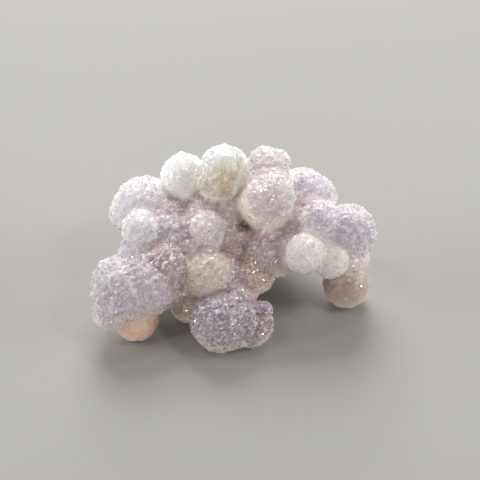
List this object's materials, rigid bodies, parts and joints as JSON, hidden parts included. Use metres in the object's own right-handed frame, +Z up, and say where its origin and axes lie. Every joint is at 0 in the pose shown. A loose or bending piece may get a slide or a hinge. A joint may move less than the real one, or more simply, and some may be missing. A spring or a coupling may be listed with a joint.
{
  "type": "botryoidal chalcedony",
  "caption": "Loose cluster of intergrown lilac chalcedony balls with a sugary crystal crust, standing on the worn spots of its lowest balls.",
  "frame": {"origin": "under the middle of the cluster's box, on the surface it stands on", "axes": "+X to the right along the cluster's length as seen from its front, +Y to its back, +Z up"},
  "size_m": [0.0352, 0.0245, 0.0185],
  "materials": {
    "chalcedony": "sugary microcrystalline crust over translucent lilac to cream chalcedony, frosted with small glints"
  },
  "bodies": {
    "root": {"chalcedony": "chalcedony"}
  },
  "joints": []
}
